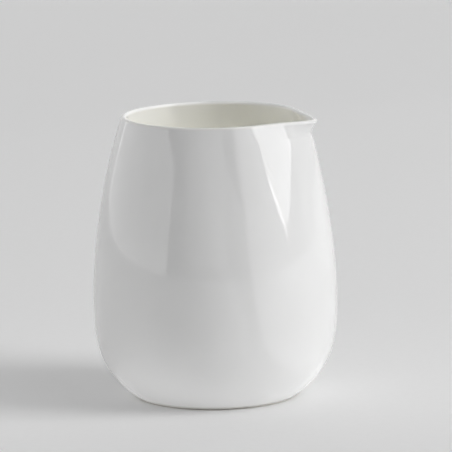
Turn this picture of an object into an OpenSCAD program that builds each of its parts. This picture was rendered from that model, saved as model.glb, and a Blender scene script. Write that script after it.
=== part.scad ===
// Handleless porcelain cream jug: a slip-cast egg-shaped body on a small foot, with a
// pinched pouring spout drawn out of its rim, under a thin coat of clear glaze.
// +Z is up, the foot rests on Z = 0, the jug's axis is the Z axis, and the spout points along +X.

/* [Body] */
// Height from the resting foot to the crest of the rim
jug_h = 90; // [80:1:110]
// Largest radius of the glazed body
belly_r = 38.8; // [36:0.1:42]
// Height of the largest radius
belly_z = 30.8; // [28:0.1:34]
// Radius where the glazed wall leaves the foot
foot_r = 26.15; // [25.5:0.05:27]
// Slope of the wall above the foot, in degrees from the horizontal
foot_slope = 37.7; // [34:0.1:42]
// Inward lean of the wall below the rim, in degrees from the vertical
rim_lean = 18; // [14:0.1:22]

/* [Wall] */
// Thickness of the glazed wall at the belly
wall_t = 2.7; // [2.2:0.1:3.2]
// Height of the glazed floor of the hollow
floor_z = 4.9; // [4.4:0.1:6]
// Radius of the flat middle of the floor
floor_r = 19; // [16:0.5:20]
// Thickness of the glaze coat
glaze_t = 0.3; // [0.2:0.05:0.35]

/* [Foot] */
// Outer radius of the bare resting face
rest_r = 25.2; // [24:0.1:25.3]
// Inner radius of the bare resting face
rest_in_r = 23.2; // [21.5:0.1:23.4]
// Depth of the recess inside the foot ring, before glazing
recess_h = 1.8; // [1.4:0.1:2.2]

/* [Rim] */
// Radius of the middle of the rim
rim_r = 28.2; // [27:0.1:29]
// Half of the rim's thickness, and the radius of its rounded crest
rim_half = 0.85; // [0.7:0.05:1]

/* [Spout] */
// Reach of the spout's crest from the jug's axis
spout_reach = 33.9; // [32:0.1:36]
// Half of the angle between the spout's two flanks
flank_angle = 48; // [40:1:55]
// Radius of the spout's rounded tip, seen from above
tip_round = 4; // [2.5:0.1:5]
// How far the rim is pinched inwards beside the spout
pinch = 0.6; // [0:0.1:1.4]
// Angle from the spout to each pinch
pinch_angle = 33; // [28:1:36]
// How far the tip dips below the rest of the rim
tip_dip = 0.3; // [0:0.05:0.8]
// Share of the spout's reach that its thin flared lip makes
lip_share = 0.65; // [0.3:0.05:0.8]
// Height of the flared lip
lip_h = 4.3; // [3:0.1:6]
// Height of the whole drawn-out region below the rim
root_h = 35; // [30:1:40]

/* [Hidden] */
$fn = 96;

biscuit = [0.93, 0.91, 0.88];
glazed_white = [0.95, 0.95, 0.94];
bead_z = jug_h - rim_half;      // height of the middle of the rounded crest
foot_z = 0.6;                   // height where the glaze ends above the foot
foot_pull = 12.6;               // the four pulls set how full the wall's two curves are
below_belly_pull = 16.1;
above_belly_pull = 9.5;
rim_pull = 27.7;
belly_top = 48;                 // the belly is round below this height
rim_h = 3;                      // height of the rim piece
spout_piece_h = 20;             // height of the spout piece
spout_piece_angle = 27;         // half of the angle that the spout piece covers
pinch_width = 10;               // spread of each pinch, in degrees
join_soft = 0.8;                // softness of the joint between flank and rim
level_soft = 8;                 // softness, in degrees, of the flank's levelling off
dip_width = 14;                 // spread of the tip's dip, in degrees
ring_edge = 0.35;               // rounding of the foot ring's edges
floor_piece_r = 20;
far_out = 60;

// The angles of a jug's cross-section: fine steps round the spout, coarser ones elsewhere
fine = 40;
angles = [for (a = [-fine : 2.5 : fine]) a, for (a = [fine + 8 : 8 : 360 - fine - 8]) a];

// Point and slope of a cubic curve through four control points
function curve(c, t) = pow(1 - t, 3) * c[0] + 3 * pow(1 - t, 2) * t * c[1]
                     + 3 * (1 - t) * t * t * c[2] + pow(t, 3) * c[3];
function slope(c, t) = 3 * (pow(1 - t, 2) * (c[1] - c[0]) + 2 * (1 - t) * t * (c[2] - c[1])
                     + t * t * (c[3] - c[2]));
// The same point moved by d along the curve's right-hand normal
function beside(c, t, d) = let (s = slope(c, t), n = [s[1], -s[0]] / norm(s)) curve(c, t) + d * n;

// Where the walls meet the rounded crest, for a shell whose crest has radius h
function crest(a, h) = [rim_r + h * sin(a), bead_z + h * cos(a)];
crest_out = 90 - rim_lean;
crest_in = -90 - rim_lean;
lean_dir = [sin(rim_lean), -cos(rim_lean)];

// Control points of the outer wall, from the foot up, and of the inner wall, from the rim down
outer_low = [[foot_r, foot_z],
             [foot_r, foot_z] + foot_pull * [cos(foot_slope), sin(foot_slope)],
             [belly_r, belly_z - below_belly_pull], [belly_r, belly_z]];
outer_high = [[belly_r, belly_z], [belly_r, belly_z + above_belly_pull],
              crest(crest_out, rim_half) + rim_pull * lean_dir, crest(crest_out, rim_half)];
hollow_r = belly_r - wall_t;
inner_high = [crest(crest_in, rim_half), crest(crest_in, rim_half) + rim_pull * lean_dir,
              [hollow_r, belly_z + above_belly_pull], [hollow_r, belly_z]];
inner_low = [[hollow_r, belly_z], [hollow_r, belly_z - below_belly_pull],
             [floor_r + foot_pull, floor_z], [floor_r, floor_z]];

// Profiles as [radius, height, offset from the middle of the rim], cut d deep into the coat
low_steps = 7;
high_steps = 10;
crest_steps = 4;
function outer_profile(d) = concat(
    [for (i = [0 : low_steps]) concat(beside(outer_low, i / low_steps, -d), rim_half - d)],
    [for (i = [1 : high_steps - 1]) concat(beside(outer_high, i / high_steps, -d), rim_half - d)],
    [for (i = [0 : crest_steps]) let (a = crest_out * (1 - i / crest_steps))
        concat(crest(a, rim_half - d), (rim_half - d) * sin(a))]);
function inner_profile(d) = concat(
    [for (i = [0 : crest_steps]) let (a = crest_in * i / crest_steps)
        concat(crest(a, rim_half - d), (rim_half - d) * sin(max(a, -90)))],
    [for (i = [1 : high_steps - 1]) concat(beside(inner_high, i / high_steps, -d), d - rim_half)],
    [for (i = [0 : low_steps]) concat(beside(inner_low, i / low_steps, -d), d - rim_half)]);

// The rim seen from above, at offset d from its middle: a pinched circle joined to a hyperbola,
// whose rounded tip and two straight flanks are the spout. Past the angle where a flank comes
// closest to the axis, the flank's radius stays level, so the circle takes over.
function soft_max(p, q, soft) = (p + q + sqrt((p - q) * (p - q) + soft * soft)) / 2;
function bell(x) = exp(-x * x);
function circle_part(a, d) = rim_r + d
    - pinch * (bell((a - pinch_angle) / pinch_width) + bell((a + pinch_angle) / pinch_width));
function held(a) = -soft_max(-a, flank_angle - 90, level_soft);
function spout_part(a0, d) =
    let (a = held(abs(a0)) - held(0),
         k = 1 / pow(tan(flank_angle), 2),
         tip = spout_reach + d,
         blunt = tip_round * k + d * (1 / sin(flank_angle) - 1),
         apex = tip + blunt,
         q = apex * apex - blunt * blunt)
    q / (apex * cos(a) + sqrt(pow(blunt * cos(a), 2) + k * q * pow(sin(a), 2)));
function signed(a) = a > 180 ? a - 360 : a;
function plan_r(a, d) =
    let (behind = soft_max(rim_r + d, spout_part(180, d), join_soft) - rim_r - d)
    soft_max(circle_part(a, d), spout_part(a, d), join_soft) - behind;

// How much of the spout's shape is left at height z: a thin flared lip over a long soft root
function ease(x) = let (y = min(1, max(0, x))) pow(y, 3) * (10 - 15 * y + 6 * y * y);
function spout_share(z) = let (u = max(0, bead_z - z))
    lip_share * pow(max(0, 1 - u / lip_h), 1.3) + (1 - lip_share) * ease(1 - u / root_h);

// A profile point carried to angle a
function placed(p, a0) =
    let (a = signed(a0), w = spout_share(p[1]), r = p[0] + w * (plan_r(a, p[2]) - rim_r - p[2]))
    [r * cos(a), r * sin(a), p[1] - tip_dip * w * bell(a / dip_width)];

// A solid from a closed chain of profile points carried round the axis
module turned(chain) {
    n = len(chain);
    m = len(angles);
    points = [for (a = angles) for (p = chain) placed(p, a)];
    faces = [for (j = [0 : m - 1]) for (i = [0 : n - 1]) for (half = [0, 1])
        let (j2 = (j + 1) % m, i2 = (i + 1) % n)
        half == 0 ? [j * n + i, j * n + i2, j2 * n + i2] : [j * n + i, j2 * n + i2, j2 * n + i]];
    polyhedron(points, faces, convexity = 6);
}

// A solid from a chain of profile points whose two ends lie on the axis
module turned_cup(chain, low_end, high_end) {
    n = len(chain);
    m = len(angles);
    points = concat([for (a = angles) for (p = chain) placed(p, a)], [low_end, high_end]);
    faces = concat(
        [for (j = [0 : m - 1]) for (i = [0 : n - 2]) for (half = [0, 1])
            let (j2 = (j + 1) % m)
            half == 0 ? [j * n + i, j * n + i + 1, j2 * n + i + 1]
                      : [j * n + i, j2 * n + i + 1, j2 * n + i]],
        [for (j = [0 : m - 1]) let (j2 = (j + 1) % m) [m * n, j * n, j2 * n]],
        [for (j = [0 : m - 1]) let (j2 = (j + 1) % m) [m * n + 1, j2 * n + n - 1, j * n + n - 1]]);
    polyhedron(points, faces, convexity = 6);
}

function reversed(list) = [for (i = [len(list) - 1 : -1 : 0]) list[i]];
function flat(list) = [for (p = list) [p[0], p[1]]];

// The fired clay under the glaze, as one closed outline that runs up outside and down inside
clay_outside = outer_profile(glaze_t);
clay_inside = inner_profile(glaze_t);

// The clay wall between two heights, as a ring with the spout drawn out of it
module clay_band(z0, z1) {
    intersection() {
        turned(concat(
            [for (p = clay_outside) if (p[1] > belly_z + 1) p],
            [for (i = [1 : len(clay_inside) - 1]) if (clay_inside[i][1] > belly_z + 1) clay_inside[i]]));
        translate([-far_out, -far_out, z0]) cube([2 * far_out, 2 * far_out, z1 - z0]);
    }
}

// The part of the upper wall that belongs to the spout piece
module spout_sector() {
    reach = far_out / cos(spout_piece_angle);
    translate([0, 0, jug_h - spout_piece_h])
        linear_extrude(spout_piece_h + 1)
            polygon([[0, 0],
                     [reach * cos(spout_piece_angle), -reach * sin(spout_piece_angle)],
                     [reach * cos(spout_piece_angle), reach * sin(spout_piece_angle)]]);
}

// Bare clay ring that the jug rests on, with rounded edges
module foot_ring() {
    color(biscuit)
        rotate_extrude()
            intersection() {
                union() {
                    translate([rest_in_r, 0]) square([rest_r - rest_in_r, recess_h]);
                    translate([rest_in_r - ring_edge, ring_edge])
                        square([rest_r - rest_in_r + 2 * ring_edge, recess_h - ring_edge]);
                    for (r = [rest_in_r, rest_r]) translate([r, ring_edge]) circle(ring_edge, $fn = 32);
                    polygon([[rest_r, ring_edge], [rest_r + ring_edge, ring_edge],
                             for (i = [0 : 2]) let (p = clay_outside[i]) [p[0], p[1]],
                             [rest_r, clay_outside[2][1]]]);
                }
                square([belly_r, recess_h]);
            }
}

// Flat clay disc that closes the bottom
module floor_disc() {
    color(biscuit)
        translate([0, 0, recess_h])
            cylinder(h = floor_z - glaze_t - recess_h, r = floor_r);
}

// Round clay wall from the foot ring to above the widest place
module belly() {
    color(biscuit)
        rotate_extrude()
            intersection() {
                polygon(concat([[floor_r, 0]], flat([for (p = clay_outside) if (p[1] < jug_h - rim_h) p]),
                    flat([for (p = clay_inside) if (p[1] < jug_h - rim_h) p])));
                translate([0, recess_h]) square([belly_r, belly_top - recess_h]);
            }
}

// Clay wall between the belly and the rim, with the spout's root in it
module shoulder() {
    color(biscuit)
        difference() {
            clay_band(belly_top, jug_h - rim_h);
            spout_sector();
        }
}

// Rounded clay rim, open where the spout is
module rim() {
    color(biscuit)
        difference() {
            clay_band(jug_h - rim_h, jug_h + 1);
            spout_sector();
        }
}

// Pouring spout: the wall drawn outwards into a blunt V with a thin flared lip
module spout() {
    color(biscuit)
        intersection() {
            clay_band(jug_h - spout_piece_h, jug_h + 1);
            spout_sector();
        }
}

// Clear glaze over the outside, from the foot to the crest of the rim
module outer_glaze() {
    color(glazed_white)
        turned(concat(outer_profile(0), reversed(outer_profile(glaze_t))));
}

// Clear glaze over the inside, from the crest of the rim to the middle of the floor
module inner_glaze() {
    color(glazed_white)
        turned_cup(concat(reversed(inner_profile(glaze_t)), inner_profile(0)),
                   [0, 0, floor_z - glaze_t], [0, 0, floor_z]);
}

// Clear glaze inside the foot ring
module base_glaze() {
    color(glazed_white)
        translate([0, 0, recess_h - glaze_t])
            cylinder(h = glaze_t, r = rest_in_r - ring_edge);
}

foot_ring();
floor_disc();  // floor
belly();
shoulder();
rim();
spout();
outer_glaze();
inner_glaze();
base_glaze();
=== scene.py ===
"""A handleless white porcelain cream jug, put together the way a pottery makes it.

The clay body is cast in one piece and divided here by region; the spout is pressed out of the
soft rim; the glaze coat goes on the outside, the inside and the recess under the foot, and the
foot ring is wiped bare. Everything is in metres, +Z up, with the spout along +X.
"""
import math

import bpy
import numpy as np
from mathutils import Matrix


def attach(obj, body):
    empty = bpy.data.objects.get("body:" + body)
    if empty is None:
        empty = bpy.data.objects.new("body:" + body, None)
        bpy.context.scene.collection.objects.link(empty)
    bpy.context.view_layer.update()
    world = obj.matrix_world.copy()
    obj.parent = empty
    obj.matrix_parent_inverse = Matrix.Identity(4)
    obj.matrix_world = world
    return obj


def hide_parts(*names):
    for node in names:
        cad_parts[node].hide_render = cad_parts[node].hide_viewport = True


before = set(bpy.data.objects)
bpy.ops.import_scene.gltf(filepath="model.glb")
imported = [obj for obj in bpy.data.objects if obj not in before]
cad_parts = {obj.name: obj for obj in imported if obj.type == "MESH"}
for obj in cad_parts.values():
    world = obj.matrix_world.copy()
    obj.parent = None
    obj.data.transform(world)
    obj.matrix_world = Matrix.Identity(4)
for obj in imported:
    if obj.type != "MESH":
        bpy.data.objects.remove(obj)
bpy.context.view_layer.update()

# ---- Outer glaze ----------------------------------------------------------------------------
# A clear glaze over white porcelain, dipped and fired: glossy, very slightly rippled, thin and
# a little warm where it draws back from the sharp crest and from the foot. It takes the jug's
# whole outer shape: small foot, egg-shaped wall, thin round rim, spout pressed out at +X.
MM = 0.001
DEG = math.pi / 180

jug_h = 90 * MM
foot_r, foot_z, foot_slope = 26.15 * MM, 0.6 * MM, 37.7 * DEG
belly_r, belly_z = 38.8 * MM, 30.8 * MM
wall_t, glaze_t = 2.7 * MM, 0.3 * MM
floor_r, floor_z, recess_h = 19 * MM, 4.9 * MM, 1.8 * MM
rim_r, rim_half, rim_lean = 28.2 * MM, 0.85 * MM, 18 * DEG
foot_pull, below_belly_pull, above_belly_pull, rim_pull = 12.6 * MM, 16.1 * MM, 9.5 * MM, 27.7 * MM
spout_reach, flank_angle, tip_round = 33.9 * MM, 48 * DEG, 4 * MM
pinch, pinch_angle, pinch_width = 0.6 * MM, 33 * DEG, 10 * DEG
join_soft, level_soft = 0.8 * MM, 8 * DEG
lip_share, lip_h, root_h = 0.65, 4.3 * MM, 35 * MM
tip_dip, dip_width = 0.3 * MM, 14 * DEG

# Heights where the clay is divided, and the half-angle that the spout piece covers
bowl_z, belly_top, spout_z, rim_z, spout_half = 20 * MM, 48 * MM, 70 * MM, 87 * MM, 27 * DEG


def curve(a, b, c, d, count=400):
    """Cubic curve from a to d, pulled towards b and c, with its unit normal on the right."""
    t = np.linspace(0, 1, count)[:, None]
    a, b, c, d = (np.array(p) for p in (a, b, c, d))
    at = (1 - t) ** 3 * a + 3 * (1 - t) ** 2 * t * b + 3 * (1 - t) * t * t * c + t ** 3 * d
    along = (1 - t) ** 2 * (b - a) + 2 * (1 - t) * t * (c - b) + t * t * (d - c)
    along /= np.linalg.norm(along, axis=1)[:, None]
    return at, np.stack([along[:, 1], -along[:, 0]], 1)


def round_crest(angle):
    """Half round of the rim's edge: a circle about the middle of the rim, angle from the top."""
    normal = np.stack([np.sin(angle), np.cos(angle)], 1)
    return np.array([rim_r, jug_h - rim_half]) + rim_half * normal, normal


crest_out, crest_in = 90 * DEG - rim_lean, -90 * DEG - rim_lean
crest_ends = round_crest(np.array([crest_out, crest_in]))[0]
down_the_wall = np.array([math.sin(rim_lean), -math.cos(rim_lean)])
hollow_r = belly_r - wall_t
outer_low = curve((foot_r, foot_z),
                  (foot_r + foot_pull * math.cos(foot_slope), foot_z + foot_pull * math.sin(foot_slope)),
                  (belly_r, belly_z - below_belly_pull), (belly_r, belly_z))
outer_high = curve((belly_r, belly_z), (belly_r, belly_z + above_belly_pull),
                   crest_ends[0] + rim_pull * down_the_wall, crest_ends[0])
inner_low = curve((floor_r, floor_z), (floor_r + foot_pull, floor_z),
                  (hollow_r, belly_z - below_belly_pull), (hollow_r, belly_z))
inner_high = curve((hollow_r, belly_z), (hollow_r, belly_z + above_belly_pull),
                   crest_ends[1] + rim_pull * down_the_wall, crest_ends[1])


def bell(x):
    """Smooth bump of height 1 at x = 0."""
    return np.exp(-x * x)


def soft_max(p, q, softness):
    """The larger of p and q, rounded off over about the softness where they cross."""
    return (p + q + np.sqrt((p - q) ** 2 + softness ** 2)) / 2


def rim_plan(angle, offset):
    """Radius of the rim seen from above: a circle pinched inwards twice, joined to a hyperbola
    whose rounded tip and straight flanks are the spout. Past the angle where a flank comes
    closest to the axis its radius stays level, so the circle takes over."""
    pinched = rim_r + offset - pinch * (bell((angle - pinch_angle) / pinch_width)
                                        + bell((angle + pinch_angle) / pinch_width))
    level = 90 * DEG - flank_angle

    def held(x):
        return -soft_max(-x, -level, level_soft)

    k = 1 / math.tan(flank_angle) ** 2
    blunt = tip_round * k + offset * (1 / math.sin(flank_angle) - 1)
    apex = spout_reach + offset + blunt
    q = apex ** 2 - blunt ** 2

    def flank(x):
        return q / (apex * np.cos(x) + np.sqrt((blunt * np.cos(x)) ** 2 + k * q * np.sin(x) ** 2))

    behind = soft_max(rim_r + offset, flank(held(180 * DEG) - held(0)), join_soft) - rim_r - offset
    return soft_max(pinched, flank(held(np.abs(angle)) - held(0)), join_soft) - behind


def spout_left(z):
    """How much of the spout's shape is left at height z: a flared lip over a long soft root."""
    below = np.maximum(0, jug_h - rim_half - z)
    x = np.clip(1 - below / root_h, 0, 1)
    root = x ** 3 * (10 - 15 * x + 6 * x * x)
    flare = np.clip(1 - below / lip_h, 0, 1) ** 1.3
    return lip_share * flare + (1 - lip_share) * root


def around(points, offset, angle):
    """Grid of an outline carried round the axis, with the spout drawn out of its upper part."""
    r, z, off = points[:, 0][:, None], points[:, 1][:, None], offset[:, None]
    left = spout_left(z)
    r = r + left * (rim_plan(angle[None, :], off) - rim_r - off)
    z = z - tip_dip * left * bell(angle[None, :] / dip_width)
    return np.stack([r * np.cos(angle), r * np.sin(angle), z + 0 * r], -1)


# Angles round the jug: fine over the spout and its flanks, coarser over the plain round. Each
# range stops a hair short of its end, where the next one starts.
fine_half, fine_step, plain_step, hair = 2 * spout_half, 0.75 * DEG, 2 * DEG, 0.1 * DEG
angles = np.concatenate([np.arange(-fine_half, fine_half - hair, fine_step),
                         np.arange(fine_half, 360 * DEG - fine_half - hair, plain_step)])
columns = len(angles)

# Rows of the grid along each stretch of the wall, from the bottom upwards
floor_rows, foot_rows, bowl_rows, belly_rows, shoulder_rows = 4, 4, 37, 29, 30
spout_rows, rim_rows, crest_rows = 41, 9, 15


def climb(low, high, rows):
    """Evenly spaced values from low up to, but not including, high."""
    return np.linspace(low, high, rows)[:-1]


def stations(side):
    """Rows of the wall from the foot to the crest, as points, normals and offsets from mid-rim.
    Row n of the outer side faces row n of the inner side, at the same height on the upright
    wall, and the last row of both is the crest."""
    outer = side > 0
    low, high = (outer_low, outer_high) if outer else (inner_low, inner_high)
    line = np.vstack([low[0][:-1], high[0]])
    normal = np.vstack([low[1][:-1], high[1]]) * side
    index = np.arange(len(line))
    z = np.concatenate([climb(bowl_z, belly_top, belly_rows), climb(belly_top, spout_z, shoulder_rows),
                        climb(spout_z, rim_z, spout_rows),
                        climb(rim_z, crest_ends[0 if outer else 1][1], rim_rows)])
    if outer:
        z = np.concatenate([climb(foot_z, recess_h, foot_rows), climb(recess_h, bowl_z, bowl_rows), z])
        rows = np.interp(z, line[:, 1], index)
    else:
        rows = np.concatenate([climb(0, np.interp(bowl_z, line[:, 1], index), bowl_rows),
                               np.interp(z, line[:, 1], index)])
    points = np.stack([np.interp(rows, index, line[:, i]) for i in (0, 1)], 1)
    normals = np.stack([np.interp(rows, index, normal[:, i]) for i in (0, 1)], 1)
    if not outer:
        flat = climb(0, floor_r, floor_rows)
        points = np.vstack([np.stack([flat, 0 * flat + floor_z], 1), points])
        normals = np.vstack([np.stack([0 * flat, 0 * flat + 1], 1), normals])
    turn = np.linspace(crest_out if outer else crest_in, 0, crest_rows)
    crest = round_crest(turn)
    offset = np.concatenate([np.full(len(points), side * rim_half),
                             rim_half * np.sin(np.clip(turn, -90 * DEG, 90 * DEG))])
    return np.vstack([points, crest[0]]), np.vstack([normals, crest[1]]), offset


def wall(side, depth):
    """One side of the wall, depth into the coat, as a grid of rows by angles."""
    points, normals, offset = stations(side)
    return around(points - depth * normals, offset * (1 - depth / rim_half), angles)


def tube_faces(rows, columns, closed=True):
    """Quads of a grid that closes round, and that also closes from its last row to its first."""
    i, j = np.meshgrid(np.arange(rows if closed else rows - 1), np.arange(columns), indexing="ij")
    i2, j2 = (i + 1) % rows, (j + 1) % columns
    quads = np.stack([i * columns + j, i * columns + j2, i2 * columns + j2, i2 * columns + j], -1)
    return quads.reshape(-1, 4).tolist()


def piece(name, points, faces, material):
    """A smooth-shaded mesh object that rides on the jug and stands for the CAD node it names."""
    mesh = bpy.data.meshes.new(name)
    mesh.from_pydata(points.reshape(-1, 3), [], faces)
    mesh.shade_smooth()
    mesh.materials.append(material)
    obj = bpy.data.objects.new(name, mesh)
    bpy.context.scene.collection.objects.link(obj)
    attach(obj, "root")
    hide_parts(name)
    return obj


class Surface:
    """A new Principled material with short calls for textures placed by Object coordinates."""

    def __init__(self, name):
        self.mat = bpy.data.materials.new(name)
        self.mat.use_nodes = True
        self.nodes, self.links = self.mat.node_tree.nodes, self.mat.node_tree.links
        self.shader = self.nodes["Principled BSDF"]
        self.place = self.nodes.new("ShaderNodeTexCoord").outputs["Object"]

    def fix(self, **values):
        for name, value in values.items():
            self.shader.inputs[name.replace("_", " ")].default_value = value

    def noise(self, scale, detail=3.0):
        node = self.nodes.new("ShaderNodeTexNoise")
        node.inputs["Scale"].default_value = scale
        node.inputs["Detail"].default_value = detail
        self.links.new(self.place, node.inputs["Vector"])
        return node.outputs[0]

    def cells(self, scale):
        node = self.nodes.new("ShaderNodeTexVoronoi")
        node.inputs["Scale"].default_value = scale
        self.links.new(self.place, node.inputs["Vector"])
        return node.outputs["Distance"]

    def height(self):
        node = self.nodes.new("ShaderNodeSeparateXYZ")
        self.links.new(self.place, node.inputs[0])
        return node.outputs["Z"]

    def from_base(self):
        """Distance from the middle of the underside."""
        node = self.nodes.new("ShaderNodeVectorMath")
        node.operation = "LENGTH"
        self.links.new(self.place, node.inputs[0])
        return node.outputs["Value"]

    def span(self, value, low, high, to_low=0.0, to_high=1.0):
        """The value carried smoothly from the range low..high to the range to_low..to_high."""
        node = self.nodes.new("ShaderNodeMapRange")
        node.interpolation_type = "SMOOTHSTEP"
        for name, v in (("From Min", low), ("From Max", high), ("To Min", to_low), ("To Max", to_high)):
            node.inputs[name].default_value = v
        self.links.new(value, node.inputs["Value"])
        return node.outputs["Result"]

    def blend(self, part, a, b):
        """Colour a where part is 0 and colour b where it is 1; either may be a socket."""
        node = self.nodes.new("ShaderNodeMix")
        node.data_type = "RGBA"
        self.links.new(part, node.inputs[0])
        for socket, colour in ((node.inputs[6], a), (node.inputs[7], b)):
            if isinstance(colour, tuple):
                socket.default_value = (*colour, 1)
            else:
                self.links.new(colour, socket)
        return node.outputs[2]

    def relief(self, value, depth, before=None):
        """Bump of the given depth in metres, on top of another one."""
        node = self.nodes.new("ShaderNodeBump")
        node.inputs["Strength"].default_value = 1.0
        node.inputs["Distance"].default_value = depth
        self.links.new(value, node.inputs["Height"])
        if before:
            self.links.new(before, node.inputs["Normal"])
        return node.outputs["Normal"]

    def wire(self, **sockets):
        for name, socket in sockets.items():
            self.links.new(socket, self.shader.inputs[name.replace("_", " ")])


# Patterns to the metre in the fired glaze, the depth of its ripple, how dark a cloud is, and the
# range of its roughness
cloud_scale, speck_scale, gloss_scale, ripple_scale = 28, 330, 55, 75
ripple_depth, cloud_shade, least_rough, most_rough = 0.035 * MM, 0.975, 0.035, 0.075


def glaze(name, colour, speck_colour):
    """Glossy fired glaze: faint cloudiness, sparse tiny iron specks, soft ripple in the gloss."""
    s = Surface(name)
    s.fix(IOR=1.6)
    cloudy = s.blend(s.span(s.noise(cloud_scale, 3), 0.35, 0.65), colour,
                     tuple(cloud_shade * c for c in colour))
    specked = s.blend(s.span(s.cells(speck_scale), 0.035, 0.055, 1.0, 0.0), cloudy, speck_colour)
    s.wire(Base_Color=specked,
           Roughness=s.span(s.noise(gloss_scale, 2), 0.3, 0.7, least_rough, most_rough),
           Normal=s.relief(s.noise(ripple_scale, 2), ripple_depth))
    return s, specked


outer_gloss, outer_colour = glaze("outer_gloss", (0.805, 0.805, 0.803), (0.76, 0.755, 0.74))
at_height = outer_gloss.height()
near_edge = outer_gloss.span(at_height, 88.9 * MM, 89.9 * MM)
warmed = outer_gloss.blend(near_edge, outer_colour, (0.84, 0.835, 0.815))
near_foot = outer_gloss.span(at_height, 0.7 * MM, 1.6 * MM, 1.0, 0.0)
outer_gloss.wire(Base_Color=outer_gloss.blend(near_foot, warmed, (0.77, 0.765, 0.74)))

out_skin, out_clay = wall(1, 0), wall(1, glaze_t)
shell = np.concatenate([out_skin, out_clay[::-1]])
piece("outer_glaze", shell, tube_faces(len(shell), columns), outer_gloss.mat)

# ---- Inner glaze ----------------------------------------------------------------------------
# The same glaze poured into the jug and out again. Its colour is painted warmer and a little yellow
# towards the floor: a painted tint of the warm light bounced about inside the jug.
inner_gloss, inner_colour = glaze("inner_gloss", (0.93, 0.93, 0.925), (0.86, 0.85, 0.82))
# Painted bounce light: the colour turns warmer from under the rim down to the floor, standing in for
# light bounced about inside the jug
painted_bounce_tint = inner_gloss.span(inner_gloss.height(), 5 * MM, 98 * MM, 1.0, 0.0)
inner_gloss.wire(Base_Color=inner_gloss.blend(painted_bounce_tint, inner_colour, (0.925, 0.905, 0.76)))

in_skin, in_clay = wall(-1, 0), wall(-1, glaze_t)
in_rows = np.concatenate([in_clay[1:], in_skin[1:][::-1]])
last = (len(in_rows) - 1) * columns
poles = np.array([[0, 0, floor_z - glaze_t], [0, 0, floor_z]])
spoke = np.arange(columns)
next_spoke = (spoke + 1) % columns
fans = np.concatenate([np.stack([0 * spoke + last + columns, next_spoke, spoke], 1),
                       np.stack([0 * spoke + last + columns + 1, last + spoke, last + next_spoke], 1)])
piece("inner_glaze", np.concatenate([in_rows.reshape(-1, 3), poles]),
      tube_faces(len(in_rows), columns, closed=False) + fans.tolist(),
      inner_gloss.mat)

# ---- Base glaze -----------------------------------------------------------------------------
# Glaze left in the shallow recess inside the foot ring. It pools towards the ring, where it
# looks slightly greyer, and ends in a wiped edge.
base_gloss, base_colour = glaze("base_gloss", (0.83, 0.83, 0.825), (0.74, 0.73, 0.70))
pooled = base_gloss.span(base_gloss.from_base(), 17 * MM, 22.5 * MM)
base_gloss.wire(Base_Color=base_gloss.blend(pooled, base_colour, (0.77, 0.775, 0.765)))
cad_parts["base_glaze"].data.materials.clear()
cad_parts["base_glaze"].data.materials.append(base_gloss.mat)

# ---- Foot ring ------------------------------------------------------------------------------
# Bare fired porcelain, wiped clean of glaze before the firing: matt, warm white, with a fine
# sugary grain and a few grey rubs from the shelf that it stood on.
biscuit = Surface("biscuit_porcelain")
grain_scale, pit_scale, rub_scale = 2600, 900, 140
grain_depth, pit_depth = 0.02 * MM, 0.03 * MM
biscuit.fix(Specular_IOR_Level=0.3)
grain = biscuit.noise(grain_scale, 4)
rubbed = biscuit.span(biscuit.noise(rub_scale, 4), 0.56, 0.70)
body = biscuit.blend(biscuit.span(grain, 0.3, 0.7), (0.74, 0.72, 0.68), (0.80, 0.785, 0.75))
biscuit.wire(Base_Color=biscuit.blend(rubbed, body, (0.62, 0.60, 0.565)),
             Roughness=biscuit.span(grain, 0.3, 0.7, 0.62, 0.85),
             Normal=biscuit.relief(biscuit.noise(pit_scale, 4), pit_depth,
                                   biscuit.relief(grain, grain_depth)))
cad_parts["foot_ring"].data.materials.clear()
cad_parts["foot_ring"].data.materials.append(biscuit.mat)

# ---- Floor ----------------------------------------------------------------------------------
# The flat clay disc at the bottom, cast in one with the wall. It lies hidden between the glaze
# inside the jug and the glaze of the recess, so it's bare clay all over.
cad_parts["floor"].data.materials.clear()
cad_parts["floor"].data.materials.append(biscuit.mat)

# ---- Belly ----------------------------------------------------------------------------------
# Cast clay wall from the foot ring to above the widest place. It is round, carries the curve of
# the bowl inside, and closes on the floor disc with an upright seam.
heights = stations(1)[0][:, 1]
bottom_row, top_row = (int(np.argmin(np.abs(heights - z))) for z in (recess_h, belly_top))
seam = around(np.array([[floor_r, recess_h]]), np.array([0.0]), angles)
ring = np.concatenate([out_clay[bottom_row:top_row + 1], in_clay[bottom_row:top_row + 1][::-1], seam])
piece("belly", ring, tube_faces(len(ring), columns), biscuit.mat)

# ---- Shoulder -------------------------------------------------------------------------------
# Cast clay wall that leans in from the belly to just under the rim, with the spout's long soft
# root pressed into it by the fingers.
both_sides = np.concatenate([out_clay, in_clay]).reshape(-1, 3)
middle_z = (heights[:-1] + heights[1:]) / 2
middle_angle = angles + np.diff(np.append(angles, angles[0] + 360 * DEG)) / 2
of_spout = (np.abs(middle_angle) < spout_half)[None, :] & (middle_z > spout_z)[:, None]


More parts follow.
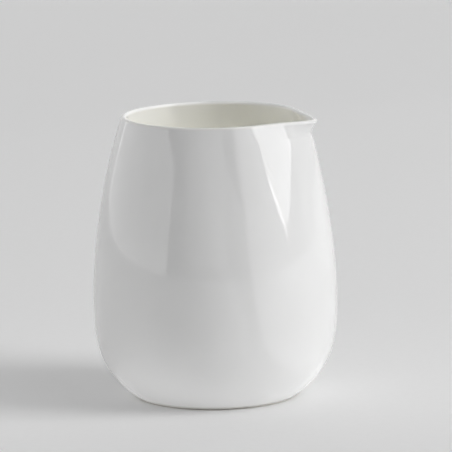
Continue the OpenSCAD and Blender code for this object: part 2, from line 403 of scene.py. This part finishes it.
def clay_piece(name, kept):
    """The part of the clay wall whose cells are kept: its outer and inner faces, and the faces
    between them wherever a kept cell meets one that is not. The two sides meet at the crest."""
    rows = len(heights)
    row, col = np.meshgrid(np.arange(rows), np.arange(columns), indexing="ij")
    outer = row * columns + col
    inner = outer + rows * columns
    inner[-1] = outer[-1]
    outer_next, inner_next = np.roll(outer, -1, 1), np.roll(inner, -1, 1)
    fenced = np.pad(kept, ((1, 1), (0, 0)))
    open_left, open_right = kept & ~np.roll(kept, 1, 1), kept & ~np.roll(kept, -1, 1)
    open_below, open_above = kept & ~fenced[:-2], kept & ~fenced[2:]
    open_above[-1] = False
    faces = np.concatenate([np.stack([c[where] for c in corners], -1) for where, corners in (
        (kept, (outer[:-1], outer_next[:-1], outer_next[1:], outer[1:])),
        (kept, (inner[1:], inner_next[1:], inner_next[:-1], inner[:-1])),
        (open_left, (outer[1:], inner[1:], inner[:-1], outer[:-1])),
        (open_right, (outer_next[:-1], inner_next[:-1], inner_next[1:], outer_next[1:])),
        (open_below, (inner[:-1], inner_next[:-1], outer_next[:-1], outer[:-1])),
        (open_above, (outer[1:], outer_next[1:], inner_next[1:], inner[1:])))])
    used, faces = np.unique(faces, return_inverse=True)
    rings = [[v for n, v in enumerate(f) if v != f[n - 1]] for f in faces.reshape(-1, 4).tolist()]
    piece(name, both_sides[used], rings, biscuit.mat)


under_rim = (middle_z > belly_top) & (middle_z < rim_z)
clay_piece("shoulder", under_rim[:, None] & ~of_spout)

# ---- Rim ------------------------------------------------------------------------------------
# The top few millimetres of the clay wall, trimmed level with a knife and rounded over with a
# wet sponge. It goes all the way round except where the spout is.
clay_piece("rim", (middle_z > rim_z)[:, None] & ~of_spout)

# ---- Spout ----------------------------------------------------------------------------------
# Pressed out of the soft rim between finger and thumb: a blunt V from above, with a thin lip
# that flares so that the last drop is cut off.
clay_piece("spout", of_spout)

# ---- Studio ---------------------------------------------------------------------------------
# A pale table that runs out of sight, a large soft lamp on the right, white walls on the left
# and behind, and weaker light from above and in front. Two narrow lamps light only the mouth.
spout_turn = 20.45 * DEG
toward = np.array([math.sin(spout_turn), -math.cos(spout_turn), 0])
right = np.array([math.cos(spout_turn), math.sin(spout_turn), 0])
up = np.array([0, 0, 1.0])


table_half, fibre_scale, fibre_depth = 60, 420, 0.02 * MM


def table(size):
    """Flat square board, size to each side of the jug, with a faint fibre in its matt face."""
    mesh = bpy.data.meshes.new("table_top")
    mesh.from_pydata([(-size, -size, 0), (size, -size, 0), (size, size, 0), (-size, size, 0)], [],
                     [(0, 1, 2, 3)])
    obj = bpy.data.objects.new("table_top", mesh)
    bpy.context.scene.collection.objects.link(obj)
    board = Surface("table_top")
    board.fix(Roughness=0.9, Specular_IOR_Level=0.1)
    fibre = board.noise(fibre_scale, 4)
    board.wire(Base_Color=board.blend(board.span(fibre, 0.3, 0.7), (0.935, 0.935, 0.935),
                                      (0.945, 0.945, 0.945)),
               Normal=board.relief(fibre, fibre_depth))
    obj.data.materials.append(board.mat)


table(table_half)

world = bpy.data.worlds.new("room")
world.use_nodes = True
world.node_tree.nodes["Background"].inputs["Color"].default_value = (1, 1, 1, 1)
world.node_tree.nodes["Background"].inputs["Strength"].default_value = 0.135
bpy.context.scene.world = world


def placed(x_axis, y_axis, z_axis, at):
    """Matrix of a camera or a light from its three axes and its place."""
    return Matrix([[x_axis[i], y_axis[i], z_axis[i], at[i]] for i in range(3)] + [[0, 0, 0, 1]])


def way(turn, rise):
    """Direction from the jug to a light, from an angle to the right of the camera and a rise
    above the table, with the level direction at right angles to it."""
    out = math.cos(rise) * (math.cos(turn) * toward + math.sin(turn) * right) + math.sin(rise) * up
    level = np.cross(up, out)
    return out, level / np.linalg.norm(level)


def hang(name, data, matrix):
    """Put a light in the scene, unseen by the camera."""
    obj = bpy.data.objects.new(name, data)
    bpy.context.scene.collection.objects.link(obj)
    obj.matrix_world = matrix
    obj.visible_camera = False
    return obj


def lamp(name, turn, rise, distance, width, height, strength, round_front=False, twist=0):
    """Soft light that faces the jug from an angle to the right of the camera and a rise above
    the table; strength is its brightness where white is 1."""
    data = bpy.data.lights.new(name, "AREA")
    data.shape = "ELLIPSE" if round_front else "RECTANGLE"
    data.size, data.size_y = width, height
    data.energy = strength * math.pi * width * height * (math.pi / 4 if round_front else 1)
    out, x_axis = way(turn, rise)
    y_axis = np.cross(out, x_axis)
    x_axis, y_axis = (math.cos(twist) * x_axis + math.sin(twist) * y_axis,
                      math.cos(twist) * y_axis - math.sin(twist) * x_axis)
    return hang(name, data, placed(x_axis, y_axis, out, distance * out))


lamp("soft_lamp", 76 * DEG, 26.2 * DEG, 1.5, 0.80, 1.08, 2.52, True)
lamp("soft_lamp_fill", 76 * DEG, 26.2 * DEG, 1.5, 0.80, 1.08, 5.1, True).visible_glossy = False
lamp("soft_lamp_streak", 69.5 * DEG, 10.5 * DEG, 1.48, 0.44, 0.04, 2.2, False, -42 * DEG)
lamp("above_lamp", 70 * DEG, 58 * DEG, 1.5, 1.2, 0.7, 0.98)
lamp("right_back", 142 * DEG, 26 * DEG, 1.5, 1.05, 1.2, 0.13)
lamp("back_wall", 182 * DEG, 22 * DEG, 1.8, 3.3, 1.5, 0.68)
lamp("left_wall", -92.5 * DEG, 14 * DEG, 1.5, 3.2, 0.78, 1.10)
lamp("front_left", -8 * DEG, 20 * DEG, 1.7, 1.24, 1.1, 0.27)
lamp("ceiling", 0, 89 * DEG, 1.8, 1.8, 1.8, 0.51)
# Light from the table near the jug's foot, as a disc that lies on it and faces up
card = lamp("table_card", 0, 0, 0, 0.15, 0.12, 0.205, True)
card.matrix_world = placed(right, toward, -up, 0.04 * toward + 0.012 * right + 0.0004 * up)


def mouth_lamp(name, turn, rise, power, cone, stretch):
    """Narrow soft-edged lamp that shines into the mouth from the given side and rise. Its beam
    is a cone, stretched sideways to an ellipse as the mouth looks from there."""
    data = bpy.data.lights.new(name, "SPOT")
    data.energy, data.spot_size, data.spot_blend, data.shadow_soft_size = power, cone, 0.5, 0.003
    out, x_axis = way(turn, rise)
    hang(name, data, placed(stretch * x_axis, np.cross(out, x_axis), out, jug_h * up + 1.5 * out))


mouth_lamp("mouth_lamp_top", 22 * DEG, 82.6 * DEG, 75, 1.75 * DEG, 1.0)
mouth_lamp("mouth_lamp_front", 8 * DEG, 50 * DEG, 57, 1.5 * DEG, 1.28)

# ---- Camera ---------------------------------------------------------------------------------
# A long lens that looks down a little on the jug from 16 jug heights away, turned so that the
# spout points to the right and a little towards the lens, and tilted by under a degree.
distance, pitch, roll = 16 * jug_h, 10.43 * DEG, -0.9 * DEG
aim_right, aim_up = 3.6 * MM, 9.0 * MM
middle = np.array([0, 0, jug_h / 2])
eye = middle + distance * (math.cos(pitch) * toward + math.sin(pitch) * up)
ahead = -(math.cos(pitch) * toward + math.sin(pitch) * up)
level_up = np.cross(right, ahead)
cam_right = math.cos(roll) * right + math.sin(roll) * level_up
cam_up = -math.sin(roll) * right + math.cos(roll) * level_up
aim = middle + aim_right * cam_right + aim_up * cam_up
ahead = (aim - eye) / np.linalg.norm(aim - eye)
cam_right = np.cross(ahead, cam_up)
cam_right /= np.linalg.norm(cam_right)
cam_up = np.cross(cam_right, ahead)
cam = bpy.data.cameras.new("camera")
cam.sensor_width, cam.lens = 36, 361
cam.clip_start, cam.clip_end = 0.05, 200
camera = bpy.data.objects.new("camera", cam)
bpy.context.scene.collection.objects.link(camera)
camera.matrix_world = placed(cam_right, cam_up, -ahead, eye)
bpy.context.scene.camera = camera
bpy.context.scene.view_settings.view_transform = "Standard"
